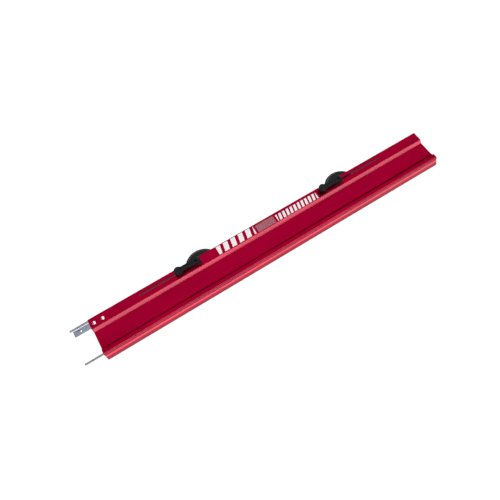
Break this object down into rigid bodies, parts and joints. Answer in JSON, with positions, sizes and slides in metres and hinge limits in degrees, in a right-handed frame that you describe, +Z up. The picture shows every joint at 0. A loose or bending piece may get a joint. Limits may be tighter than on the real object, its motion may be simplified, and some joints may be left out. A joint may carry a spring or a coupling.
{
  "type": "slab cutter guide rail",
  "caption": "Red anodised guide rail of a manual slab cutter, with sliding lever-worked suction cups under its back flange and dowel pins and a splice plate at one end.",
  "frame": {"origin": "centre of the underside of the whole tool's bounding box, on the slab that it lies on", "axes": "+X along the rail towards the end with the dowel sockets, +Y towards the back flange that carries the suction cups, +Z up"},
  "size_m": [1.153, 0.1464, 0.0478],
  "materials": {
    "red_anodised": "satin anodised",
    "zinc": "zinc plated",
    "bright_steel": "bright",
    "black_steel": "black oxide",
    "black_plastic": "satin",
    "black_rubber": "matt",
    "grey_foam": "matt foam"
  },
  "bodies": {
    "rail": {"guide_rail": "red_anodised", "front_grip_strip": "grey_foam", "middle_grip_strip": "grey_foam", "back_dowel_pin": "bright_steel", "front_dowel_pin": "bright_steel", "splice_plate": "zinc", "splice_screw_1": "bright_steel", "splice_screw_2": "bright_steel"},
    "left_cup": {"left_cup_housing": "black_plastic", "left_suction_pad": "black_rubber", "left_saddle": "black_plastic", "left_wear_plate": "black_steel", "left_saddle_screw_outer": "black_steel", "left_saddle_screw_inner": "black_steel"},
    "left_core": {"left_core_plate": "black_steel", "left_pull_tongue": "black_steel", "left_pivot_pin": "black_steel"},
    "left_lever": {"left_lever": "black_plastic"},
    "right_cup": {"right_cup_housing": "black_plastic", "right_suction_pad": "black_rubber", "right_saddle": "black_plastic", "right_wear_plate": "black_steel", "right_saddle_screw_outer": "black_steel", "right_saddle_screw_inner": "black_steel"},
    "right_core": {"right_core_plate": "black_steel", "right_pull_tongue": "black_steel", "right_pivot_pin": "black_steel"},
    "right_lever": {"right_lever": "black_plastic"}
  },
  "joints": [
    {"name": "left_cup_slide", "type": "slide", "parent": "rail", "child": "left_cup", "axis": [1, 0, 0], "range_m": [-0.1592, 0]},
    {"name": "left_core_lift", "type": "slide", "parent": "left_cup", "child": "left_core", "axis": [0, 0, 1], "range_m": [-0.00244, 0], "deforming": ["left_suction_pad"]},
    {"name": "left_lever_hinge", "type": "hinge", "parent": "left_core", "child": "left_lever", "pos_m": [-0.194, 0.03021, 0.0418], "axis": [0, 1, 0], "range_deg": [0, 100]},
    {"name": "right_cup_slide", "type": "slide", "parent": "rail", "child": "right_cup", "axis": [1, 0, 0], "range_m": [-0.0208, 0.1388]},
    {"name": "right_core_lift", "type": "slide", "parent": "right_cup", "child": "right_core", "axis": [0, 0, 1], "range_m": [-0.00244, 0], "deforming": ["right_suction_pad"]},
    {"name": "right_lever_hinge", "type": "hinge", "parent": "right_core", "child": "right_lever", "pos_m": [0.28345, 0.03021, 0.0418], "axis": [0, 1, 0], "range_deg": [0, 100]}
  ],
  "couplings": [
    {"joint": "left_lever_hinge", "follows": "left_core_lift", "rad_per_m": -714.29},
    {"joint": "right_lever_hinge", "follows": "right_core_lift", "rad_per_m": -714.29}
  ]
}
